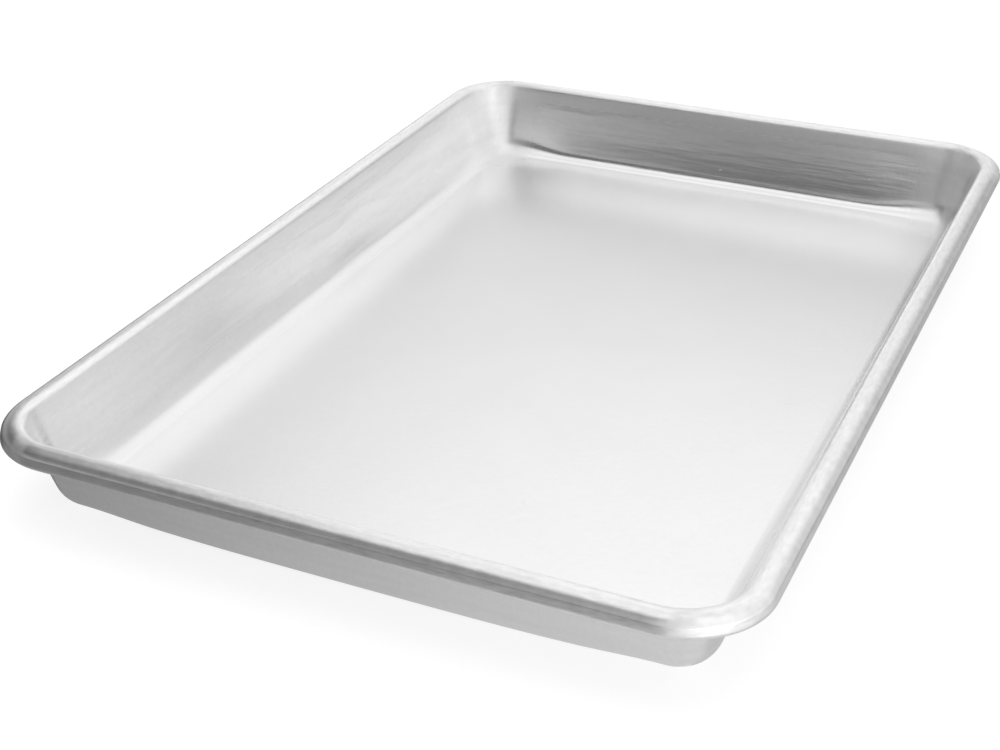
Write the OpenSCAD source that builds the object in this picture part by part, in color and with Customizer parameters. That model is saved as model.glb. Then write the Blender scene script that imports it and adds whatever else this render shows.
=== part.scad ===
// Jelly roll pan: one sheet of aluminium, drawn into a shallow tray and rolled over a stiffening
// wire at its rim.
// X runs across the pan and Y along it, and the floor stands on Z = 0 with the origin at its middle.
// Every side and corner carries the same section of the sheet, so at a corner the rim, the wall and
// the bend at the floor are all round about one centre.

/* [Pan] */
// Length over the rim
pan_l = 457; // [380:1:520]
// Width over the rim
pan_w = 305; // [240:1:360]
// Height from the underside of the floor to the top of the rim
pan_h = 38; // [26:1:60]
// Thickness of the sheet, 18 gauge
sheet_t = 1; // [0.8:0.1:1.2]

/* [Wall] */
// Lean of the wall outwards from upright, in degrees
wall_lean = 20; // [5:1:30]
// Inside radius of the bend between floor and wall
floor_bend_r = 8; // [4:0.5:14]
// Corner radius of the flat of the floor, seen from above
floor_corner_r = 5; // [2:0.5:20]

/* [Rim] */
// Radius of the bend from the wall over to the rim, on the inside of the pan
rim_bend_r = 4; // [2:0.25:6]
// Width of the level strip along the top of the rim
rim_flat = 0.4; // [0.2:0.1:4]
// Radius of the crown, the round outer half of the rim's top
crown_r = 6.5; // [5:0.5:8]
// Turn from upright to where the crown ends and the shoulder begins, in degrees
shoulder_turn = 35; // [30:1:45]
// Radius of the shoulder between the crown and the skirt
shoulder_r = 1.2; // [1.2:0.1:2]
// Lean of the skirt, the outer face of the rim, inwards at its top, in degrees
skirt_lean = 15; // [5:1:20]
// Radius of the two lower bends, which roll the sheet under the wire
roll_r = 1.6; // [1.4:0.1:2]
// Height of the edge that is turned up behind the wire
hook_h = 0.8; // [0.4:0.1:1.4]

/* [Wire] */
// Diameter of the stiffening wire
wire_d = 3.8; // [3.2:0.1:4.4]
// Clearance between the wire and the sheet rolled round it
wire_clear = 0.2; // [0.1:0.05:0.4]
// Headroom that the crown of the rim leaves above the wire
crown_rise = 1.2; // [0.8:0.1:1.8]
// Gap where the two ends of the wire meet, in the middle of the far side
wire_joint = 1; // [0.5:0.5:4]

/* [Hidden] */
$fn = 96;

// Largest turn from one point to the next along a bend of the sheet, in degrees
bend_step = 10;

wire_r = wire_d / 2;

// Heights in the rolled rim. What ends in _in is measured in from the rim's outermost line
roll_h = sheet_t + wire_clear + wire_d + wire_clear + crown_rise + sheet_t;
roll_z = pan_h - roll_h;
lower_bend_z = roll_z + roll_r;

// Skirt, from the lower bend up to the shoulder
skirt_foot_in = roll_r * (1 - cos(skirt_lean));
skirt_foot_z = lower_bend_z + roll_r * sin(skirt_lean);
crown_z = pan_h - crown_r;
crown_end_z = crown_z + crown_r * sin(shoulder_turn);
shoulder_z = crown_end_z - shoulder_r * sin(shoulder_turn);
skirt_top_z = shoulder_z + shoulder_r * sin(skirt_lean);
skirt_top_in = skirt_foot_in + (skirt_top_z - skirt_foot_z) * tan(skirt_lean);
shoulder_in = skirt_top_in + shoulder_r * cos(skirt_lean);
crown_in = shoulder_in + (crown_r - shoulder_r) * cos(shoulder_turn);

// Level strip and inner bend, down to where the wall begins
rim_w = crown_in + rim_flat + rim_bend_r;
wall_top_in = rim_w - rim_bend_r * (1 - cos(wall_lean));
wall_top_z = pan_h - rim_bend_r * (1 - sin(wall_lean));

// Bend at the floor, whose centre stands over the edge of the flat of the floor
floor_bend_z = sheet_t + floor_bend_r;
wall_run = (wall_top_z - floor_bend_z) * tan(wall_lean) + floor_bend_r / cos(wall_lean);

// Radius of a corner at the rim's outermost line, and the lines that the sides start from
corner_r = floor_corner_r + wall_run + wall_top_in;
side_x = pan_w / 2 - corner_r;
side_y = pan_l / 2 - corner_r;

// Middle of the wire, which lies on the lip below it, clear of the skirt and of the crown
wire_z = roll_z + sheet_t + wire_clear + wire_r;
wire_off_skirt = skirt_foot_in + (wire_z - skirt_foot_z) * tan(skirt_lean)
    + (sheet_t + wire_clear + wire_r) / cos(skirt_lean);
crown_reach = crown_r - sheet_t - wire_clear - wire_r;
wire_off_crown = crown_in - sqrt(max(0, pow(crown_reach, 2) - pow(wire_z - crown_z, 2)));
wire_in = max(wire_off_skirt, wire_off_crown);
hook_in = wire_in + wire_r + wire_clear + sheet_t;

// Centres of the bends, measured outwards from the middle of a corner and up from the floor
floor_bend = [floor_corner_r, floor_bend_z];
rim_bend = [corner_r - rim_w + rim_bend_r, pan_h - rim_bend_r];
crown = [corner_r - crown_in, crown_z];
shoulder = [corner_r - shoulder_in, shoulder_z];
lower_bend = [corner_r - roll_r, lower_bend_z];
hook_bend = [corner_r - hook_in + roll_r, lower_bend_z];

// Every bend from the floor to the turned-up edge: centre, radius on the upper side of the sheet,
// radius on its lower side, angles that it runs from and to, and the first point that it draws
BENDS = [
    [floor_bend, floor_bend_r, floor_bend_r + sheet_t, -90, -wall_lean, 0],
    [rim_bend, rim_bend_r, rim_bend_r - sheet_t, 180 - wall_lean, 90, 0],
    [crown, crown_r, crown_r - sheet_t, 90, shoulder_turn, 0],
    [shoulder, shoulder_r, shoulder_r - sheet_t, shoulder_turn, skirt_lean, 1],
    [lower_bend, roll_r, roll_r - sheet_t, skirt_lean, -90, 0],
    [hook_bend, roll_r, roll_r - sheet_t, -90, -180, 0],
];

// Points along one bend, at most bend_step apart
function bend_points(bend, r) =
    let (steps = ceil(abs(bend[4] - bend[3]) / bend_step))
    [for (i = [bend[5]:steps])
        let (a = bend[3] + (bend[4] - bend[3]) * i / steps)
        bend[0] + r * [cos(a), sin(a)]];

function upper_side() = [for (bend = BENDS) each bend_points(bend, bend[1])];
function lower_side() = [for (bend = BENDS) each bend_points(bend, bend[2])];
function backwards(points) = [for (i = [len(points) - 1:-1:0]) points[i]];

// Section of the sheet: floor, wall and rolled rim, with the straight runs between the bends
module sheet_section() {
    edge_x = hook_bend[0] - roll_r;
    edge_z = lower_bend_z + hook_h;
    polygon(concat(
        [[0, sheet_t]],
        upper_side(),
        [[edge_x, edge_z], [edge_x + sheet_t, edge_z]],
        backwards(lower_side()),
        [[0, 0]]
    ));
}

// Sweeps a section right round the pan: a straight run along each side, a quarter turn at each corner
module around_pan() {
    for (turn = [0, 180]) {
        rotate([0, 0, turn]) {
            translate([side_x, side_y, 0]) rotate([90, 0, 0]) linear_extrude(2 * side_y) children();
            translate([-side_x, side_y, 0]) rotate([90, 0, 90]) linear_extrude(2 * side_x) children();
            translate([side_x, side_y, 0]) rotate_extrude(angle = 90) children();
            translate([-side_x, side_y, 0]) rotate([0, 0, 90]) rotate_extrude(angle = 90) children();
        }
    }
}

// The drawn sheet: its section swept round, with the flat of the floor between the sides
module pan_body() {
    color("gainsboro") {
        around_pan() sheet_section();
        translate([-side_x, -side_y, 0]) cube([2 * side_x, 2 * side_y, sheet_t]);
    }
}

// The wire inside the rim, a loop of round wire whose ends butt together in the far side
module rim_wire() {
    color("silver") difference() {
        around_pan() translate([corner_r - wire_in, wire_z]) circle(wire_r);
        translate([-wire_joint / 2, pan_l / 2 - wire_in - wire_d, wire_z - wire_d])
            cube([wire_joint, 2 * wire_d, 2 * wire_d]);
    }
}

pan_body();
rim_wire();
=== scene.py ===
# %% [markdown]
# Jelly roll pan
#
# One sheet of aluminium is drawn into a shallow tray, and its rim is rolled over a steel wire.
# The CAD model gives the sizes. This lesson dresses it: it sweeps a smooth copy of the sheet round
# the pan with Geometry Nodes, gives the metals their mill marks, and sets up a small photo studio.
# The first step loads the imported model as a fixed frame. Everything after it is in metres, in that
# same frame: X across the pan, Y along it, and the underside of its floor on Z = 0.

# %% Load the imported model
import math

import bmesh
import bpy
from mathutils import Euler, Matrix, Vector


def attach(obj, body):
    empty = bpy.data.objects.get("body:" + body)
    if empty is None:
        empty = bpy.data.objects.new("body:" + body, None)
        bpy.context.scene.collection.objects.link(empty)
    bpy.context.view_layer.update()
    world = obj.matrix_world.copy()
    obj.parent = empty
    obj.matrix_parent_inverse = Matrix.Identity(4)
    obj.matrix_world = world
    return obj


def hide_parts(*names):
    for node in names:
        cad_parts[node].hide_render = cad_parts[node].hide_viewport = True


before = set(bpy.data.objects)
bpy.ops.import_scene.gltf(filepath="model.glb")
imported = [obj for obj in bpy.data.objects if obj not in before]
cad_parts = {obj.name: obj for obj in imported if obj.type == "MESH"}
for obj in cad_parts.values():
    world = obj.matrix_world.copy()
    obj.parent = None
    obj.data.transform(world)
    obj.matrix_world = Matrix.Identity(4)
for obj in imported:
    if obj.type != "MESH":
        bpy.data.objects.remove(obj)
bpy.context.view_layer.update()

MM = 0.001

# %% [markdown]
# Camera
#
# The camera stands in front of the pan, a little to its right and about 36 cm above the table.
# Its place and lens were worked out from the edges of the rim and of the floor, so that the picture
# has the same perspective. The small shift slides the picture without turning the camera.

# %% Place the camera
CAMERA_PLACE = (0.25559, -0.64232, 0.36103)
CAMERA_TURN = (60.5686, 0.6671, 25.3765)
LENS, SENSOR_WIDTH = 61.473, 36
SHIFT_ASIDE, SHIFT_UP = 0.0375, 0.0246

camera_data = bpy.data.cameras.new("camera")
camera_data.sensor_width = SENSOR_WIDTH
camera_data.lens = LENS
camera_data.shift_x = SHIFT_ASIDE
camera_data.shift_y = SHIFT_UP
camera_data.clip_start = 0.01
camera = bpy.data.objects.new("camera", camera_data)
camera.location = CAMERA_PLACE
camera.rotation_euler = Euler([math.radians(a) for a in CAMERA_TURN], "XYZ")
bpy.context.scene.collection.objects.link(camera)
bpy.context.scene.camera = camera
print("camera at", CAMERA_PLACE, "turned by", CAMERA_TURN, "degrees, lens", LENS, "mm")

# %% [markdown]
# Sizes of the sheet
#
# A designer draws a pan by its section: a flat floor, a bend, a leaning wall, a bend over to the rim,
# the round crown, the skirt, and two small bends that roll the edge under the wire. The lengths here
# repeat those of the CAD model, in millimetres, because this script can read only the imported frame.
# What follows from them is worked out below them, and a name that ends in _in is measured inwards
# from the rim's outermost line.

# %% Sizes, in millimetres and degrees
PAN_L, PAN_W, PAN_H = 457, 305, 38
SHEET = 1
WALL_LEAN, FLOOR_BEND_R, FLOOR_CORNER_R = 20, 8, 5
RIM_BEND_R, RIM_FLAT = 4, 0.4
CROWN_R, SHOULDER_TURN, SHOULDER_R = 6.5, 35, 1.2
SKIRT_LEAN, ROLL_R, HOOK_H = 15, 1.6, 0.8
WIRE_D, WIRE_CLEAR, CROWN_RISE = 3.8, 0.2, 1.2


def sin(degrees):
    return math.sin(math.radians(degrees))


def cos(degrees):
    return math.cos(math.radians(degrees))


def tan(degrees):
    return math.tan(math.radians(degrees))


print("over the rim", PAN_L, "by", PAN_W, "by", PAN_H, "mm, of sheet", SHEET, "mm thick")

# %% Heights and widths of the rim
roll_z = PAN_H - (SHEET + WIRE_CLEAR + WIRE_D + WIRE_CLEAR + CROWN_RISE + SHEET)
lower_bend_z = roll_z + ROLL_R
skirt_foot_in = ROLL_R * (1 - cos(SKIRT_LEAN))
skirt_foot_z = lower_bend_z + ROLL_R * sin(SKIRT_LEAN)
crown_z = PAN_H - CROWN_R
shoulder_z = crown_z + (CROWN_R - SHOULDER_R) * sin(SHOULDER_TURN)
skirt_top_z = shoulder_z + SHOULDER_R * sin(SKIRT_LEAN)
skirt_top_in = skirt_foot_in + (skirt_top_z - skirt_foot_z) * tan(SKIRT_LEAN)
shoulder_in = skirt_top_in + SHOULDER_R * cos(SKIRT_LEAN)
crown_in = shoulder_in + (CROWN_R - SHOULDER_R) * cos(SHOULDER_TURN)
rim_w = crown_in + RIM_FLAT + RIM_BEND_R

wire_z = roll_z + SHEET + WIRE_CLEAR + WIRE_D / 2
wire_off_skirt = (skirt_foot_in + (wire_z - skirt_foot_z) * tan(SKIRT_LEAN)
                  + (SHEET + WIRE_CLEAR + WIRE_D / 2) / cos(SKIRT_LEAN))
crown_reach = CROWN_R - SHEET - WIRE_CLEAR - WIRE_D / 2
wire_off_crown = crown_in - math.sqrt(crown_reach ** 2 - (wire_z - crown_z) ** 2)
hook_in = max(wire_off_skirt, wire_off_crown) + WIRE_D / 2 + WIRE_CLEAR + SHEET
print(f"rim {rim_w:.2f} mm wide and {PAN_H - roll_z:.2f} mm tall")


# %% Radius of a corner, and where the sides begin
def bend_at_floor(lean, radius):
    """How far in from the rim's outermost line the bend at the floor has its centre."""
    wall_top_in = rim_w - RIM_BEND_R * (1 - cos(lean))
    wall_top_z = PAN_H - RIM_BEND_R * (1 - sin(lean))
    return wall_top_in + (wall_top_z - SHEET - radius) * tan(lean) + radius / cos(lean)


corner_r = FLOOR_CORNER_R + bend_at_floor(WALL_LEAN, FLOOR_BEND_R)
side_x = PAN_W / 2 - corner_r
side_y = PAN_L / 2 - corner_r
print(f"corner radius {corner_r:.2f} mm, round centres at {side_x:.2f} and {side_y:.2f} mm")

# %% [markdown]
# The section as a curve
#
# Both faces of the sheet share the centres of its bends, and their radii differ by the thickness.
# The line below starts on the floor, runs up the wall and over the rim to the edge behind the wire,
# and comes back along the other face. It is a curve object, because Geometry Nodes can sweep one.
# The press can't draw the metal round a corner as tightly as it folds it along a side. So the corners
# have a section of their own, whose bend at the floor is wider. It has just as many points, and that
# lets the sweep fade from one section to the other, point by point.

# %% Bends of the section
BEND_STEP = 5
CORNER_LEAN, CORNER_BEND_R = 18, 13.5


def bends_of(lean, bend_r):
    """Each bend is its centre, its radii on the upper and the lower face, and its turn in degrees."""
    hook_bend_in = hook_in - ROLL_R
    return [
        ((corner_r - bend_at_floor(lean, bend_r), SHEET + bend_r), bend_r, bend_r + SHEET, -90, -lean),
        ((corner_r - rim_w + RIM_BEND_R, PAN_H - RIM_BEND_R), RIM_BEND_R, RIM_BEND_R - SHEET,
         180 - lean, 90),
        ((corner_r - crown_in, crown_z), CROWN_R, CROWN_R - SHEET, 90, SHOULDER_TURN),
        ((corner_r - shoulder_in, shoulder_z), SHOULDER_R, SHOULDER_R - SHEET,
         SHOULDER_TURN, SKIRT_LEAN),
        ((corner_r - ROLL_R, lower_bend_z), ROLL_R, ROLL_R - SHEET, SKIRT_LEAN, -90),
        ((corner_r - hook_bend_in, lower_bend_z), ROLL_R, ROLL_R - SHEET, -90, -180),
    ]


def bend_points(centre, radius, start, end):
    steps = round(abs(end - start) / BEND_STEP)
    turns = [start + (end - start) * i / steps for i in range(steps + 1)]
    return [(centre[0] + radius * cos(a), centre[1] + radius * sin(a)) for a in turns]


print("bends in the section:", len(bends_of(WALL_LEAN, FLOOR_BEND_R)))

# %% Points of the section
FLOOR_START = 0.5
WALL_ROWS = 18
SAME_POINT = 0.02


def wall_points(foot, top):
    """Points up the straight wall, so that the wall can bow, sink and crumple."""
    shares = [i / WALL_ROWS for i in range(1, WALL_ROWS)]
    return [(foot[0] + (top[0] - foot[0]) * s, foot[1] + (top[1] - foot[1]) * s) for s in shares]


def face_line(bends, side):
    """One face of the sheet, from the floor to the edge behind the wire. side is 1 or 2."""
    line = [(FLOOR_START, SHEET if side == 1 else 0)]
    for number, bend in enumerate(bends):
        arc = bend_points(bend[0], bend[side], bend[3], bend[4])
        if number == 1:
            line += wall_points(line[-1], arc[0])
        line += [point for point in arc if math.dist(point, line[-1]) > SAME_POINT]
    return line


def section_line(lean, bend_r):
    """Up one face of the sheet, round its edge and back along the other face."""
    bends = bends_of(lean, bend_r)
    edge_x, edge_z = corner_r - hook_in, lower_bend_z + HOOK_H
    edge = [(edge_x, edge_z), (edge_x + SHEET, edge_z)]
    return face_line(bends, 1) + edge + face_line(bends, 2)[::-1]


upper_face = face_line(bends_of(WALL_LEAN, FLOOR_BEND_R), 1)
sheet_run = sum(math.dist(a, b) for a, b in zip(upper_face, upper_face[1:]))
print(f"from the floor to the edge behind the wire the sheet runs {sheet_run:.1f} mm")


# %% The two curve objects
def section_object(name, points):
    """Along a level path the sweep turns a section's Y axis downwards, so the heights are negative."""
    curve = bpy.data.curves.new(name, "CURVE")
    curve.dimensions = "3D"
    spline = curve.splines.new("POLY")
    spline.points.add(len(points) - 1)
    for point, (out, up) in zip(spline.points, points):
        point.co = ((out - corner_r) * MM, -up * MM, 0, 1)
    print(name, "has", len(points), "points")
    return bpy.data.objects.new(name, curve)


side_section = section_object("side_section", section_line(WALL_LEAN, FLOOR_BEND_R))
corner_section = section_object("corner_section", section_line(CORNER_LEAN, CORNER_BEND_R))

# %% [markdown]
# Helpers for node trees
#
# Shader trees and geometry trees are wired in the same way: add a node, set its options, and join
# its inputs to other nodes' outputs or give them values. One short function does all of that, and a
# few more write sums as a formula would. They could be drawn by hand in the node editor, but in a
# script the sizes above can be used by name.


# %% A node, and the sums made of nodes
def add(tree, kind, inputs=None, **options):
    """Adds a node. Each input is a value, or an output of another node that is linked to it."""
    node = tree.nodes.new(kind)
    for name, value in options.items():
        setattr(node, name, value)
    for name, value in (inputs or {}).items():
        if isinstance(value, bpy.types.NodeSocket):
            tree.links.new(value, node.inputs[name])
        else:
            node.inputs[name].default_value = value
    return node


def math_node(tree, operation, *values, clamp=False):
    node = add(tree, "ShaderNodeMath", dict(enumerate(values)), operation=operation, use_clamp=clamp)
    return node.outputs[0]


def one_by_one(tree, operation, values):
    result = values[0]
    for value in values[1:]:
        result = math_node(tree, operation, result, value)
    return result


def plus(tree, *values):
    return one_by_one(tree, "ADD", values)


def times(tree, *values):
    return one_by_one(tree, "MULTIPLY", values)


def minus(tree, value, less):
    return math_node(tree, "SUBTRACT", value, less)


def vector_node(tree, operation, *values):
    return add(tree, "ShaderNodeVectorMath", dict(enumerate(values)), operation=operation).outputs[0]


def scaled(tree, vector, factor):
    return add(tree, "ShaderNodeVectorMath", {0: vector, "Scale": factor}, operation="SCALE").outputs[0]


pan_tree = bpy.data.node_groups.new("sheet_swept_round_pan", "GeometryNodeTree")
print("empty tree:", pan_tree.name)

# %% [markdown]
# Sweeping the sheet round the pan
#
# The pan's shape follows one rule: a section of the sheet goes all the way round. So a Geometry Nodes
# tree makes it, with an input for each size. The sheet could be modelled by hand from loops of
# vertices, but to change a radius would then mean to start again.

# %% The tree's inputs
PAN_SOCKETS = {
    "Side Section": "Object", "Corner Section": "Object", "Corner Blend": "Float",
    "Material": "Material",
    "Width": "Float", "Length": "Float", "Wall Height": "Float", "Corner Radius": "Float",
    "Corner Steps": "Int", "Side Step": "Float",
    "Front Bow": "Float", "Other Bow": "Float", "Wall Hollow": "Float",
    "Wave Depth": "Float", "Wave Size": "Float", "Wave Seed": "Float",
    "Crumple Depth": "Float", "Crumple Size": "Float", "Crumple Centre": "Float",
    "Crumple Reach": "Float",
    "Sharp Angle": "Float",
}
pan_tree.interface.new_socket("Geometry", in_out="OUTPUT", socket_type="NodeSocketGeometry")
pan_inputs = {}
for name, kind in PAN_SOCKETS.items():
    pan_inputs[name] = pan_tree.interface.new_socket(
        name, in_out="INPUT", socket_type="NodeSocket" + kind).identifier
given = pan_tree.nodes.new("NodeGroupInput").outputs
print("inputs:", len(pan_inputs))

# %% [markdown]
# The path
#
# The path is the rim's outermost line: a rectangle with filleted corners. A fillet leaves each side as
# one long piece, and a bowed wall needs points along it, so every gap is cut into short steps.

# %% The path, with its sides cut into steps
rectangle = add(pan_tree, "GeometryNodeCurvePrimitiveQuadrilateral",
                {"Width": given["Width"], "Height": given["Length"]})
rounded = add(pan_tree, "GeometryNodeFilletCurve",
              {"Curve": rectangle.outputs[0], "Count": given["Corner Steps"],
               "Radius": given["Corner Radius"]}, mode="POLY")
here = add(pan_tree, "GeometryNodeInputPosition").outputs[0]
index = add(pan_tree, "GeometryNodeInputIndex").outputs[0]
next_point = add(pan_tree, "GeometryNodeOffsetPointInCurve", {"Point Index": index, "Offset": 1})
next_place = add(pan_tree, "GeometryNodeFieldAtIndex",
                 {"Index": next_point.outputs["Point Index"], "Value": here},
                 data_type="FLOAT_VECTOR", domain="POINT")
gap = add(pan_tree, "ShaderNodeVectorMath", {0: here, 1: next_place.outputs[0]}, operation="DISTANCE")
steps_in_gap = math_node(pan_tree, "DIVIDE", gap.outputs["Value"], given["Side Step"])
cuts = math_node(pan_tree, "FLOOR", steps_in_gap)
stepped = add(pan_tree, "GeometryNodeSubdivideCurve", {"Curve": rounded.outputs[0], "Cuts": cuts})
upright = add(pan_tree, "GeometryNodeSetCurveNormal", {"Curve": stepped.outputs[0]}, mode="Z_UP")
print("nodes up to the path:", len(pan_tree.nodes))

# %% [markdown]
# Two sweeps, blended
#
# Curve to Mesh sweeps each section along the whole path. The two results have their points in the
# same order, so near a corner each point of the first can move to its twin in the second. The path's
# normal is captured before the sweep, because the wall is pushed along it later.

# %% The two sweeps
captured = add(pan_tree, "GeometryNodeCaptureAttribute", {"Geometry": upright.outputs[0]}, domain="POINT")
captured.capture_items.new("VECTOR", "Outwards")
curve_normal = add(pan_tree, "GeometryNodeInputNormal").outputs[0]
pan_tree.links.new(curve_normal, captured.inputs["Outwards"])


def sweep_of(section_input):
    info = add(pan_tree, "GeometryNodeObjectInfo", {"Object": given[section_input]})
    return add(pan_tree, "GeometryNodeCurveToMesh",
               {"Curve": captured.outputs["Geometry"],
                "Profile Curve": info.outputs["Geometry"]}).outputs[0]


side_sweep = sweep_of("Side Section")
corner_sweep = sweep_of("Corner Section")
print("nodes up to the sweeps:", len(pan_tree.nodes))

# %% From one section to the other
place = add(pan_tree, "ShaderNodeSeparateXYZ", {0: here}).outputs
half_x = minus(pan_tree, times(pan_tree, given["Width"], 0.5), given["Corner Radius"])
half_y = minus(pan_tree, times(pan_tree, given["Length"], 0.5), given["Corner Radius"])


def near_corner(coordinate, half):
    """0 along a side, rising to 1 where the corner begins."""
    return add(pan_tree, "ShaderNodeMapRange",
               {"Value": math_node(pan_tree, "ABSOLUTE", coordinate),
                "From Min": minus(pan_tree, half, given["Corner Blend"]), "From Max": half},
               interpolation_type="SMOOTHSTEP").outputs[0]


corner_share = math_node(pan_tree, "MINIMUM", near_corner(place["X"], half_x),
                         near_corner(place["Y"], half_y))
corner_place = add(pan_tree, "GeometryNodeSampleIndex",
                   {"Geometry": corner_sweep, "Value": here, "Index": index},
                   data_type="FLOAT_VECTOR", domain="POINT").outputs[0]
# A Mix node has a set of sockets for each kind of value, and those for vectors go by number
blended_place = add(pan_tree, "ShaderNodeMix",
                    {0: corner_share, 4: here, 5: corner_place}, data_type="VECTOR").outputs[1]
blended = add(pan_tree, "GeometryNodeSetPosition",
              {"Geometry": side_sweep, "Position": blended_place}).outputs[0]
print("nodes up to the blend:", len(pan_tree.nodes))

# %% [markdown]
# Walls that aren't quite straight
#
# A pressed wall springs back a little, and between the corners nothing stiffens its foot. So the walls
# bow inwards there, the front one most, and each is faintly hollow and wavy. A knock has crumpled the
# left wall low down. On shiny metal even tenths of a millimetre bend the reflections, which a pattern
# in the material can't do as well, so they are in the mesh. The bow fades out towards the rim, and the
# rest fades out at the rim and at the floor: the rim stays true and the floor flat.


# %% The bow of the walls between the corners
def bow_along(coordinate, half):
    """1 in the middle of a side, falling smoothly to 0 where its corners begin."""
    share = math_node(pan_tree, "DIVIDE", coordinate, half)
    fourth = math_node(pan_tree, "POWER", math_node(pan_tree, "ABSOLUTE", share), 4.0)
    rest = math_node(pan_tree, "SUBTRACT", 1.0, fourth, clamp=True)
    return math_node(pan_tree, "POWER", rest, 2.0)


def beyond(coordinate, half):
    return math_node(pan_tree, "GREATER_THAN", math_node(pan_tree, "ABSOLUTE", coordinate), half)


in_front = math_node(pan_tree, "LESS_THAN", place["Y"], 0.0)
bow_depth = add(pan_tree, "ShaderNodeMix", {"Factor": in_front, "A": given["Other Bow"],
                                            "B": given["Front Bow"]}).outputs[0]
across = times(pan_tree, beyond(place["Y"], half_y), bow_along(place["X"], half_x), bow_depth,
               math_node(pan_tree, "SIGN", place["Y"]))
along = times(pan_tree, beyond(place["X"], half_x), bow_along(place["Y"], half_y),
              given["Other Bow"], math_node(pan_tree, "SIGN", place["X"]))
level = math_node(pan_tree, "DIVIDE", place["Z"], given["Wall Height"], clamp=True)
below_rim = minus(pan_tree, 1.0, level)
bow = add(pan_tree, "ShaderNodeCombineXYZ", {"X": along, "Y": across}).outputs[0]
bow = scaled(pan_tree, bow, below_rim)
print("nodes up to the bow:", len(pan_tree.nodes))


# %% The hollow and the faint waves in the walls
def ripple(coordinates, size, seed, detail):
    """Smooth noise from about -0.5 to 0.5, whose lumps are size across."""
    lumps = add(pan_tree, "ShaderNodeTexNoise",
                {"Vector": coordinates, "Scale": math_node(pan_tree, "DIVIDE", 1.0, size), "W": seed,
                 "Detail": detail}, noise_dimensions="4D")
    return minus(pan_tree, lumps.outputs[0], 0.5)


# 1 half way up the wall, and 0 at the floor and at the rim
mid_wall = times(pan_tree, level, below_rim, 4.0)
waves = times(pan_tree, ripple(here, given["Wave Size"], given["Wave Seed"], 1.0), given["Wave Depth"])
waves = minus(pan_tree, waves, given["Wall Hollow"])
print("nodes up to the waves:", len(pan_tree.nodes))

# %% The crumple low on the left wall
LUMPS_ALONG = 0.16
LOW_WALL_GAIN = 1.7

from_centre = minus(pan_tree, place["Y"], given["Crumple Centre"])
share = math_node(pan_tree, "DIVIDE", from_centre, given["Crumple Reach"])
share = math_node(pan_tree, "SUBTRACT", 1.0, times(pan_tree, share, share), clamp=True)
on_left = math_node(pan_tree, "LESS_THAN", place["X"], times(pan_tree, half_x, -1.0))
long_lumps = vector_node(pan_tree, "MULTIPLY", here, (1.0, LUMPS_ALONG, 1.0))
crumple = times(pan_tree, share, on_left, given["Crumple Depth"],
                ripple(long_lumps, given["Crumple Size"], given["Wave Seed"], 2.0))
low_wall = times(pan_tree, mid_wall, below_rim, LOW_WALL_GAIN)
push = plus(pan_tree, times(pan_tree, waves, mid_wall), times(pan_tree, crumple, low_wall))
push = scaled(pan_tree, captured.outputs["Outwards"], push)
moved = add(pan_tree, "GeometryNodeSetPosition",
            {"Geometry": blended, "Offset": vector_node(pan_tree, "ADD", bow, push)})
print("nodes up to the crumple:", len(pan_tree.nodes))

# %% [markdown]
# The finish of the mesh
#
# The bends are smooth, and the cut edge of the sheet is sharp. The angle between two faces tells them
# apart. The tree ends in Realize Instances and Set Material, because the export wants plain meshes.

# %% Smooth bends and a sharp edge
edge_angle = add(pan_tree, "GeometryNodeInputMeshEdgeAngle").outputs["Unsigned Angle"]
gentle = math_node(pan_tree, "LESS_THAN", edge_angle, given["Sharp Angle"])
smooth_faces = add(pan_tree, "GeometryNodeSetShadeSmooth",
                   {"Geometry": moved.outputs[0], "Shade Smooth": True}, domain="FACE")
smooth_edges = add(pan_tree, "GeometryNodeSetShadeSmooth",
                   {"Geometry": smooth_faces.outputs[0], "Shade Smooth": gentle}, domain="EDGE")
real = add(pan_tree, "GeometryNodeRealizeInstances", {"Geometry": smooth_edges.outputs[0]})
finished = add(pan_tree, "GeometryNodeSetMaterial",
               {"Geometry": real.outputs[0], "Material": given["Material"]})
add(pan_tree, "NodeGroupOutput", {"Geometry": finished.outputs[0]})
print("nodes in the whole tree:", len(pan_tree.nodes))

# %% [markdown]
# Mill-finish aluminium
#
# The pan isn't polished. Rolling and drawing leave fine lines in its sheet, and the die rubs level
# smears into the walls. The rolled rim has been bent hardest, so it is mottled. A few specks catch the
# light. Clean aluminium has hardly any colour of its own, so a mark is a very shallow bump and a slight
# change of tone, and a dull place is a higher roughness.
# A scanned texture would need a map that follows the bends. Noise on Object coordinates needs none.
# One extra coordinate says how far out on the pan a point lies, and it bends the lines round the
# corners, as the metal was drawn.


# %% Noise, and how it is used
def noise(tree, coordinates, scale, stretch=(1, 1, 1), detail=3.0):
    mapped = add(tree, "ShaderNodeMapping", {"Vector": coordinates, "Scale": stretch})
    return add(tree, "ShaderNodeTexNoise", {"Vector": mapped.outputs[0], "Scale": scale,
                                            "Detail": detail}).outputs[0]


def spread(tree, value, low, high):
    """Takes a noise value, most of which lies between 0.3 and 0.7, to low and high."""
    return add(tree, "ShaderNodeMapRange", {"Value": value, "From Min": 0.3, "From Max": 0.7,
                                            "To Min": low, "To Max": high}).outputs[0]


def swing(tree, value, size):
    return spread(tree, value, -size, size)


def ramp(tree, value, start, end):
    """0 below start, 1 above end, smooth between them."""
    return add(tree, "ShaderNodeMapRange", {"Value": value, "From Min": start, "From Max": end},
               interpolation_type="SMOOTHSTEP").outputs[0]


aluminium = bpy.data.materials.new("mill_aluminium")
aluminium.use_nodes = True
shade = aluminium.node_tree
shade.nodes.clear()
print("empty material:", aluminium.name)

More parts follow.
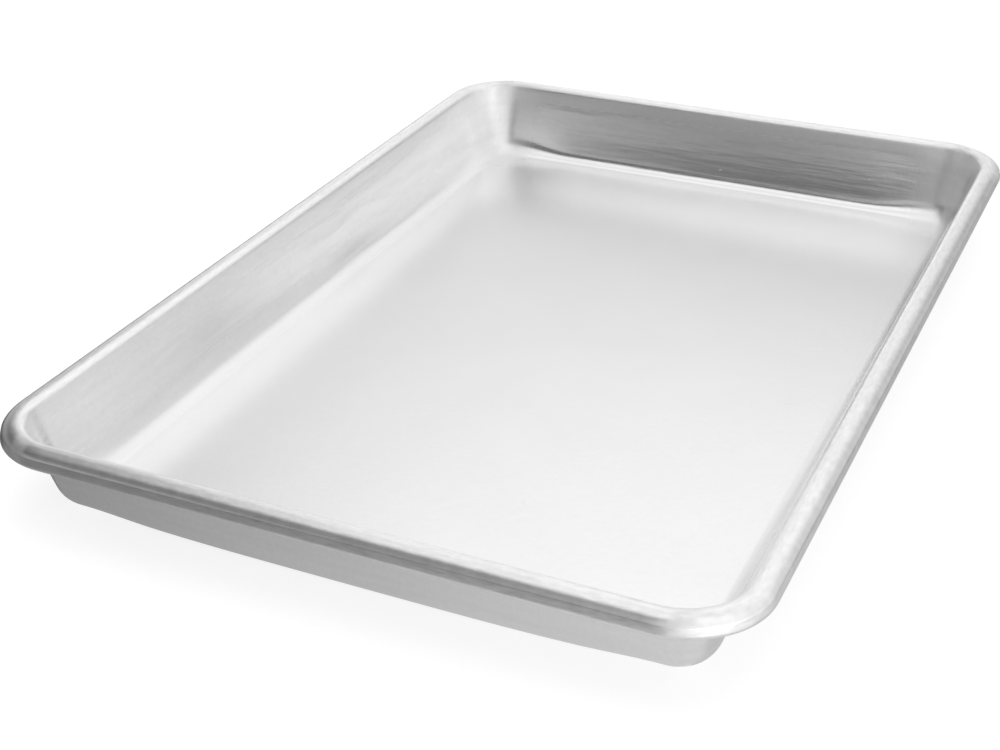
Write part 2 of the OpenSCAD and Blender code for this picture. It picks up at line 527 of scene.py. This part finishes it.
# %% How far out a point lies
where = add(shade, "ShaderNodeTexCoord").outputs["Object"]
beyond_corner = vector_node(shade, "SUBTRACT", vector_node(shade, "ABSOLUTE", where),
                            (side_x * MM, side_y * MM, 1.0))
beyond_corner = vector_node(shade, "MAXIMUM", beyond_corner, (0, 0, 0))
out = add(shade, "ShaderNodeVectorMath", {0: beyond_corner}, operation="LENGTH").outputs["Value"]
at = add(shade, "ShaderNodeSeparateXYZ", {0: where}).outputs
drawn = add(shade, "ShaderNodeCombineXYZ",
            {"X": at["X"], "Y": at["Y"], "Z": plus(shade, at["Z"], out)}).outputs[0]
print("a point on the rim's outermost line lies", round(corner_r, 2), "mm out")

# %% [markdown]
# Where the finish differs
#
# The finish depends on the place. The metal is duller towards the lip and on the rim, along the bend
# at the foot of the two long walls, and in the far corners. Smooth ramps mark these places. Painted
# masks would do too, but ramps keep to the sizes when the pan changes.

# %% Places on the pan
WALL_FULL = 13
lip = corner_r - rim_w


def zone(value, start, end):
    """0 before start and 1 past end, both in millimetres."""
    return ramp(shade, value, start * MM, end * MM)


from_middle = math_node(shade, "ABSOLUTE", at["X"])
on_rim = zone(out, lip - 1, lip + 2)
on_wall = minus(shade, zone(out, FLOOR_CORNER_R, WALL_FULL), on_rim)
side_bend = minus(shade, zone(from_middle, side_x + 5, side_x + 8),
                  zone(from_middle, side_x + 12, side_x + 16))
lip_haze = zone(out, lip - 4, lip + 1)
far_corner_haze = times(shade, zone(from_middle, side_x - 20, side_x + 6),
                        zone(at["Y"], side_y - 20, side_y + 6))
off_lip = minus(shade, 1.0, zone(out, lip - 5, lip - 3))
print(f"the rim begins {lip:.2f} mm out, and the wall {FLOOR_CORNER_R} mm out")

# %% [markdown]
# The marks
#
# Each mark is a noise, stretched the way that it was made: level along the walls for lines and smears,
# and into upright threads for the weave that the rolls leave. The specks are the middles of a few
# Voronoi cells, picked by their random colour. Scratches could be modelled, but these are too fine.

# %% Lines, smears, grain and specks
lines = noise(shade, drawn, scale=40.0, stretch=(1, 1, 30))
smears = noise(shade, drawn, scale=14.0, stretch=(1, 1, 13), detail=2.0)
cloudy = noise(shade, drawn, scale=50.0, stretch=(1, 1, 5))
mottle = noise(shade, drawn, scale=200.0, stretch=(1, 1, 4))
clouds = noise(shade, where, scale=22.0)
grain = noise(shade, where, scale=500.0, detail=1.0)
weave = noise(shade, where, scale=30.0, stretch=(25, 25, 1), detail=2.0)

SPECK_CELLS = 260.0
SHARE_WITHOUT_SPECK = 0.98
SPECK_CORE, SPECK_EDGE = 0.04, 0.14
cells = add(shade, "ShaderNodeTexVoronoi",
            {"Vector": where, "Scale": SPECK_CELLS, "Randomness": 1.0}).outputs
dice = add(shade, "ShaderNodeSeparateColor", {0: cells["Color"]}).outputs[0]
chosen = math_node(shade, "GREATER_THAN", dice, SHARE_WITHOUT_SPECK)
dot = minus(shade, 1.0, ramp(shade, cells["Distance"], SPECK_CORE, SPECK_EDGE))
speck = times(shade, chosen, dot, off_lip)
print("nodes of the marks:", len(shade.nodes))

# %% How strong each mark is
FLOOR_SHARE = 0.15
streaks = plus(shade, swing(shade, lines, 0.06), swing(shade, smears, 0.4), swing(shade, cloudy, 0.2))
streaks_share = plus(shade, math_node(shade, "MAXIMUM", on_wall, on_rim), FLOOR_SHARE)
streaks = times(shade, streaks, streaks_share)
rim_mottle = times(shade, swing(shade, mottle, 0.5), on_rim)
fine = plus(shade, swing(shade, grain, 0.5), swing(shade, weave, 0.4))
print("share of the streaks on the floor:", FLOOR_SHARE, "and on the walls:", 1 + FLOOR_SHARE)

# %% [markdown]
# Tone, roughness and relief
#
# The tone changes by a few hundredths, and a little more on the mottled rim. The roughness changes
# only with the place and not with the marks, which keeps the borders of the dull places clean. The
# relief is in millimetres, and no mark is deeper than a tenth. Stronger marks would look like wear.

# %% The shader
TONE = {"bare": 0.905, "streaks": 0.04, "rim mottle": 0.12, "grain": 0.012, "wall grain": 0.010,
        "clouds": 0.009}
ROUGHNESS = {"bare": 0.22, "lip": 0.13, "far corner": 0.16, "side bend": 0.2}
RELIEF = {"streaks": 0.05, "speck": 0.10, "grain": 0.006, "rim mottle": 0.03}

grain_tone = plus(shade, TONE["grain"], times(shade, on_wall, TONE["wall grain"]))
tone = plus(shade, TONE["bare"], times(shade, streaks, TONE["streaks"]),
            times(shade, rim_mottle, TONE["rim mottle"]), times(shade, fine, grain_tone),
            swing(shade, clouds, TONE["clouds"]))
roughness = plus(shade, ROUGHNESS["bare"], times(shade, lip_haze, ROUGHNESS["lip"]),
                 times(shade, far_corner_haze, ROUGHNESS["far corner"]),
                 times(shade, side_bend, ROUGHNESS["side bend"]))
relief = plus(shade, times(shade, streaks, RELIEF["streaks"]), times(shade, speck, RELIEF["speck"]),
              times(shade, fine, RELIEF["grain"]), times(shade, rim_mottle, RELIEF["rim mottle"]))
colour = add(shade, "ShaderNodeCombineColor", {"Red": tone, "Green": tone, "Blue": tone}).outputs[0]
bump = add(shade, "ShaderNodeBump", {"Height": relief, "Strength": 1.0, "Distance": MM})
metal = add(shade, "ShaderNodeBsdfPrincipled",
            {"Base Color": colour, "Metallic": 1.0, "Roughness": roughness, "Normal": bump.outputs[0]})
add(shade, "ShaderNodeOutputMaterial", {"Surface": metal.outputs[0]})
print("nodes of", aluminium.name + ":", len(shade.nodes))

# %% [markdown]
# The pan
#
# An empty mesh carries the modifier. Its inputs are set by their identifiers, and the result is
# turned into a plain mesh. The sweep leaves two openings, above and below the floor, because the
# section starts there. Each is closed with one flat face. The ring of flat faces round it keeps the
# shading of that face level.

# %% Sizes of the sweep, in metres
PAN_VALUES = {
    "Side Section": side_section, "Corner Section": corner_section, "Corner Blend": 35 * MM,
    "Material": aluminium,
    "Width": PAN_W * MM, "Length": PAN_L * MM, "Wall Height": roll_z * MM,
    "Corner Radius": corner_r * MM, "Corner Steps": 24, "Side Step": 5 * MM,
    "Front Bow": 2.6 * MM, "Other Bow": 0.3 * MM, "Wall Hollow": 0.35 * MM,
    "Wave Depth": 0.6 * MM, "Wave Size": 60 * MM, "Wave Seed": 4.0,
    "Crumple Depth": 3.0 * MM, "Crumple Size": 8 * MM, "Crumple Centre": 80 * MM,
    "Crumple Reach": 95 * MM,
    "Sharp Angle": math.radians(40),
}
print("every input has a value:", PAN_VALUES.keys() == pan_inputs.keys())

# %% Run the tree
pan = bpy.data.objects.new("pan", bpy.data.meshes.new("pan"))
bpy.context.scene.collection.objects.link(pan)
sweep = pan.modifiers.new("sweep", "NODES")
sweep.node_group = pan_tree
for name, value in PAN_VALUES.items():
    sweep[pan_inputs[name]] = value
bpy.context.view_layer.update()
swept_mesh = bpy.data.meshes.new_from_object(pan.evaluated_get(bpy.context.evaluated_depsgraph_get()))
pan.modifiers.clear()
pan.data = swept_mesh
print("swept faces:", len(swept_mesh.polygons))

# %% Close the floor
sheet = bmesh.new()
sheet.from_mesh(swept_mesh)
rims = [edge for edge in sheet.edges if edge.is_boundary]
filled = bmesh.ops.holes_fill(sheet, edges=rims, sides=0)["faces"]
for face in filled:
    face.smooth = True
bmesh.ops.recalc_face_normals(sheet, faces=sheet.faces)
print("floor faces:", len(filled), "open edges left:", sum(edge.is_boundary for edge in sheet.edges),
      "volume in cubic millimetres:", round(sheet.calc_volume(signed=True) / MM ** 3))
sheet.to_mesh(swept_mesh)
sheet.free()

# %% The pan stands for its CAD node
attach(pan, "root")
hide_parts("pan_body")
print("faces of the pan:", len(pan.data.polygons))

# %% [markdown]
# The wire in the rim
#
# The wire is galvanised steel, and it hardly shows: only a line of it between the roll and the wall,
# from below. The CAD node is right as it is, so it just gets a better material: dull zinc with the
# soft blotches that its crystals leave.

# %% Galvanised steel
FLAKES = 400.0
FLAKE_TONE = 0.06
FLAKE_HEIGHT = 0.1

zinc = bpy.data.materials.new("dull_zinc")
zinc.use_nodes = True
dull = zinc.node_tree
dull.nodes.clear()
spot = add(dull, "ShaderNodeTexCoord").outputs["Object"]
flakes = add(dull, "ShaderNodeTexVoronoi", {"Vector": spot, "Scale": FLAKES}).outputs["Distance"]
film = noise(dull, spot, scale=120.0)
grey = plus(dull, spread(dull, film, 0.48, 0.60), times(dull, flakes, FLAKE_TONE))
zinc_colour = add(dull, "ShaderNodeCombineColor", {"Red": grey, "Green": grey, "Blue": grey}).outputs[0]
zinc_bump = add(dull, "ShaderNodeBump", {"Height": flakes, "Strength": 0.2,
                                         "Distance": FLAKE_HEIGHT * MM}).outputs[0]
steel = add(dull, "ShaderNodeBsdfPrincipled",
            {"Base Color": zinc_colour, "Metallic": 1.0, "Roughness": spread(dull, film, 0.38, 0.55),
             "Normal": zinc_bump})
add(dull, "ShaderNodeOutputMaterial", {"Surface": steel.outputs[0]})
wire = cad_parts["rim_wire"]
wire.data.materials.clear()
wire.data.materials.append(zinc)
print("wire material:", wire.data.materials[0].name)

# %% [markdown]
# The studio
#
# A metal pan shows its surroundings more than its own colour, so the studio matters as much as the
# material. A photographer puts shiny metal into a tent: white cloth all round, with dark cards inside
# it that give the metal its dark sides. Here the background and the table are white to the camera,
# and what the metal mirrors is built round it from pieces that only reflections show. One picture
# wrapped round the scene could light the pan too, but each of these pieces can be moved by itself.

# %% White background
AMBIENT = 0.85

bpy.context.scene.view_settings.view_transform = "Standard"
world = bpy.data.worlds.new("studio")
bpy.context.scene.world = world
world.use_nodes = True
air = world.node_tree
air.nodes.clear()


def seen_white(tree):
    """1 for rays of the camera, and for those that metal and glass pass on."""
    ray = add(tree, "ShaderNodeLightPath").outputs
    seen = math_node(tree, "MAXIMUM", ray["Is Camera Ray"], ray["Is Glossy Ray"])
    return math_node(tree, "MAXIMUM", seen, ray["Is Transmission Ray"])


level_of_air = add(air, "ShaderNodeMix", {"Factor": seen_white(air), "A": AMBIENT, "B": 1.0}).outputs[0]
sky = add(air, "ShaderNodeBackground", {"Color": (1, 1, 1, 1), "Strength": level_of_air})
add(air, "ShaderNodeOutputWorld", {"Surface": sky.outputs[0]})
print("the air lights with", AMBIENT, "and is seen at 1")

# %% [markdown]
# The table
#
# The table is a wide flat sheet just under the pan. Its paint reflects some of the light, so it shows
# the pan's shadow, and glows by itself to the camera, so it is white where no shadow falls. A white
# card alone would come out grey, unless the lamps were turned up until the pan was too bright.

# %% White table that keeps the shadow
PAINT = 0.32
GLOW = 0.76
TABLE_REACH, TABLE_DEPTH = 4, 0.0002


def stage_mesh(name, corners, faces, material):
    mesh = bpy.data.meshes.new(name)
    mesh.from_pydata(corners, [], faces)
    mesh.materials.append(material)
    thing = bpy.data.objects.new(name, mesh)
    bpy.context.scene.collection.objects.link(thing)
    print("stage piece", name, "has", len(faces), "faces")
    return thing


floor_paint = bpy.data.materials.new("floor_paint")
floor_paint.use_nodes = True
paint = floor_paint.node_tree
paint.nodes.clear()
matt = add(paint, "ShaderNodeBsdfDiffuse", {"Color": (PAINT, PAINT, PAINT, 1)})
lift = add(paint, "ShaderNodeEmission", {"Strength": times(paint, seen_white(paint), GLOW)})
both = add(paint, "ShaderNodeAddShader", {0: matt.outputs[0], 1: lift.outputs[0]})
add(paint, "ShaderNodeOutputMaterial", {"Surface": both.outputs[0]})
table_corners = [(x * TABLE_REACH, y * TABLE_REACH, -TABLE_DEPTH)
                 for x, y in ((-1, -1), (1, -1), (1, 1), (-1, 1))]
stage_mesh("floor", table_corners, [(0, 1, 2, 3)], floor_paint)

# %% [markdown]
# Lamps
#
# A wide softbox overhead lights the pan evenly. It is left out of the reflections, because the tent's
# ceiling takes its place there. A small softbox stands low at the front right, and makes the glint on
# the near corner.


# %% Two softboxes
def softbox(name, place, target, width, height, brightness):
    """An area lamp that faces target. A brightness of 1 shines as white as the background."""
    lamp_data = bpy.data.lights.new(name, "AREA")
    lamp_data.shape = "RECTANGLE"
    lamp_data.size = width
    lamp_data.size_y = height
    lamp_data.energy = math.pi * width * height * brightness
    lamp = bpy.data.objects.new(name, lamp_data)
    lamp.location = place
    lamp.rotation_euler = (Vector(target) - Vector(place)).to_track_quat("-Z", "Y").to_euler()
    bpy.context.scene.collection.objects.link(lamp)
    print(name, "energy", round(lamp_data.energy, 2), "W")
    return lamp


above = softbox("softbox_above", place=(0, 0.1, 1.4), target=(0, 0, 0),
                width=1.4, height=1.4, brightness=1.0)
above.visible_glossy = False
softbox("softbox_corner", place=(0.82, -0.73, 0.155), target=(0.1, -0.2, 0.02),
        width=0.52, height=0.34, brightness=2.57)

# %% [markdown]
# The tent
#
# The tent is a round wall with a flat ceiling, white but for soft greys where the cards hang. Its
# brightness is a plain formula: a base that rises with the height, and a soft spot for each card,
# lighter or darker than the cloth. Real cards are sheets with hard edges, but the metal blurs those
# anyway, and a soft spot is moved or turned down by changing one number.

# %% Cards on the wall and the ceiling
# A heading is 0 in front of the pan, 90 on its right and 180 behind it.
# Each card on the wall: heading, height, reach aside and reach up, in degrees, and change
WALL_CARDS = {
    "dark, high on the left": (-87, 30, 35, 13, -1.57),
    "dark, in front": (-9, 10.2, 19, 17.8, -1.10),
    "dark, low at the front left": (-44, 3.8, 55, 9.4, -0.90),
    "grey strip, along the far side": (159, 20.6, 71, 5.6, -0.35),
    "white strip, far left": (-155, 12.1, 30, 3.8, 1.0),
    "dark, high at the front left": (-24, 35.1, 45, 7.8, -1.02),
    "grey, far right": (159, 10, 10, 12, -0.38),
    "faint grey, low at the far right": (130, 3, 20, 10, -0.10),
    "small grey, far right": (150, 13, 9, 4, -0.50),
    "white, on the table at the front left": (-28, 0, 15, 5, 0.50),
    "white, low at the front right": (55, 3.6, 51, 10, 0.96),
    "white, high in front": (-3, 32.4, 14.2, 9.7, 0.45),
}
# Each card on the ceiling: X, Y, reach along X and reach along Y, in metres, and change
CEILING_CARDS = {
    "dark, at the front left": (-0.34, -0.84, 0.34, 0.21, -1.50),
    "dark, along the left": (-0.88, -0.22, 0.22, 0.84, -1.49),
    "dark, across the front": (-0.25, -0.64, 0.78, 0.15, -1.16),
    "faint grey, across the middle": (0.96, 0.19, 1.76, 0.17, -0.36),
    "white, at the front right": (0.51, -0.77, 0.19, 0.62, 0.41),
}
print("cards:", len(WALL_CARDS), "on the wall and", len(CEILING_CARDS), "on the ceiling")

# %% Brightness of the cloth
TENT_TOP = 42
WALL_FOOT, WALL_RISE = 0.718, 0.348
CEILING = 1.079
DARKEST = 0.07


def faded(distance, reach):
    return math.exp(-(distance / reach) ** 2)


def wall_brightness(heading, height):
    """Brightness of the tent's wall, in the direction that the pan sees, in degrees."""
    value = WALL_FOOT + WALL_RISE * height / TENT_TOP
    for middle, middle_height, reach, reach_height, change in WALL_CARDS.values():
        aside = (heading - middle + 180) % 360 - 180
        value += change * faded(aside, reach) * faded(height - middle_height, reach_height)
    return max(value, DARKEST)


def ceiling_brightness(x, y):
    value = CEILING
    for middle_x, middle_y, reach_x, reach_y, change in CEILING_CARDS.values():
        value += change * faded(x - middle_x, reach_x) * faded(y - middle_y, reach_y)
    return max(value, DARKEST)


print(f"wall in front {wall_brightness(0, 10):.2f}, on the right {wall_brightness(90, 10):.2f}, "
      f"ceiling over the pan {ceiling_brightness(0, 0):.2f}")


# %% A piece that only reflections show
def glowing_piece(name, corners, faces, brightness):
    """brightness holds one value for each corner, and the piece shades evenly between them."""
    glow = bpy.data.materials.new(name)
    glow.use_nodes = True
    glow.cycles.emission_sampling = "NONE"
    tree = glow.node_tree
    tree.nodes.clear()
    shine = add(tree, "ShaderNodeAttribute", attribute_name="brightness").outputs["Fac"]
    light = add(tree, "ShaderNodeEmission", {"Strength": shine})
    add(tree, "ShaderNodeOutputMaterial", {"Surface": light.outputs[0]})
    piece = stage_mesh(name, corners, faces, glow)
    values = piece.data.attributes.new("brightness", "FLOAT", "POINT")
    values.data.foreach_set("value", brightness)
    piece.visible_camera = False
    piece.visible_diffuse = False
    piece.visible_shadow = False
    piece.visible_transmission = False
    piece.visible_volume_scatter = False


print("glowing pieces are hidden from the camera and cast no shadow")

# %% The wall and the ceiling
TENT_DISTANCE = 1.1
HEADINGS = list(range(0, 360, 4))
HEIGHTS = range(0, TENT_TOP + 1, 2)
CEILING_RINGS, CEILING_HOLE = 20, 0.001


def rings(rows):
    """Corners and faces of a surface of rings round the pan. Each row is a radius and a height."""
    corners = [(radius * sin(h), -radius * cos(h), z) for radius, z in rows for h in HEADINGS]
    around = len(HEADINGS)
    faces = [(row * around + i, row * around + (i + 1) % around,
              (row + 1) * around + (i + 1) % around, (row + 1) * around + i)
             for row in range(len(rows) - 1) for i in range(around)]
    return corners, faces


corners, faces = rings([(TENT_DISTANCE, TENT_DISTANCE * tan(height)) for height in HEIGHTS])
glowing_piece("tent_wall", corners, faces,
              [wall_brightness(heading, height) for height in HEIGHTS for heading in HEADINGS])
ceiling_z = TENT_DISTANCE * tan(TENT_TOP)
ceiling_rows = [(TENT_DISTANCE * ring / CEILING_RINGS, ceiling_z) for ring in range(CEILING_RINGS, 0, -1)]
corners, faces = rings(ceiling_rows + [(CEILING_HOLE, ceiling_z)])
glowing_piece("tent_ceiling", corners, faces, [ceiling_brightness(x, y) for x, y, z in corners])

# %% [markdown]
# Glowing mats beside the pan, a painted reflection of the table
#
# The pan's outside mirrors the table, near and far. Glowing mats laid there paint the reflection of the
# table's light and shade, and give the skirt and the walls their dark and light stretches. Like the
# tent, the mats show only in reflections and cast no shadow. Two strips lie in front, dim at the left
# and bright at the right, where light falls on the table from the front right, and plain mats lie
# round the rest. A grey table would do the same, but then the camera would see it.

# %% One mat
MAT_DEPTH = 0.0001
MAT_STEPS = 12


def mat(name, left, front, right, back, at_left, at_right):
    """A glowing mat on the table, a painted reflection of its light and shade. Its glow goes from one
    value at its left to another at its right.
    """
    shares = [i / MAT_STEPS for i in range(MAT_STEPS + 1)]
    corners = [(left + (right - left) * share, y, -MAT_DEPTH) for y in (front, back) for share in shares]
    faces = [(i, i + 1, i + MAT_STEPS + 2, i + MAT_STEPS + 1) for i in range(MAT_STEPS)]
    eased = [at_left + (at_right - at_left) * share * share * (3 - 2 * share) for share in shares]
    glowing_piece(name, corners, faces, eased + eased)


FOOT_X, FOOT_Y, FAR = 0.1275, 0.2035, 1.1
print("mats lie from", FOOT_X, "and", FOOT_Y, "m out to", FAR, "m")

# %% Strips in front
FADE_START = -0.30
NEAR_Y = -0.28
# Each strip: its near and its far edge, where its fade ends, and its glow in painted shade and in painted
# light
STRIPS = {
    "mat_front": (NEAR_Y, -FOOT_Y, 0.38, 0.206, 0.847),
    "mat_near": (-FAR, NEAR_Y, 0.62, 0.193, 0.89),
}
# dark and light are glow levels: the table's shade and light, painted into what the metal reflects
for name, (front, back, fade_end, dark, light) in STRIPS.items():
    mat(name, FADE_START, front, fade_end, back, dark, light)
    mat(name + "_left", -FAR, front, FADE_START, back, dark, dark)
    mat(name + "_right", fade_end, front, FAR, back, light, light)

# %% Plain mats
BESIDE = 0.23
FRONT_EDGE_Y = -0.05
# Each mat: left, front, right and back edge, and its even glow, a painted reflection of the table's light
# and shade
PLAIN_MATS = {
    "mat_left": (-BESIDE, -FOOT_Y, -FOOT_X, FAR, 0.08),
    "mat_far_left": (-FAR, -FOOT_Y, -BESIDE, FAR, 0.03),
    "mat_right": (FOOT_X, -FOOT_Y, BESIDE, FAR, 0.55),
    "mat_front_edge": (BESIDE, -FOOT_Y, FAR, FRONT_EDGE_Y, 0.80),
    "mat_far_right": (BESIDE, FRONT_EDGE_Y, FAR, FAR, 0.02),
    "mat_back": (-FOOT_X, FOOT_Y, FOOT_X, FAR, 0.76),
}
# The level of each mat is its glow, a painted reflection of the table's light and shade
for name, (left, front, right, back, glow_level) in PLAIN_MATS.items():
    mat(name, left, front, right, back, glow_level, glow_level)
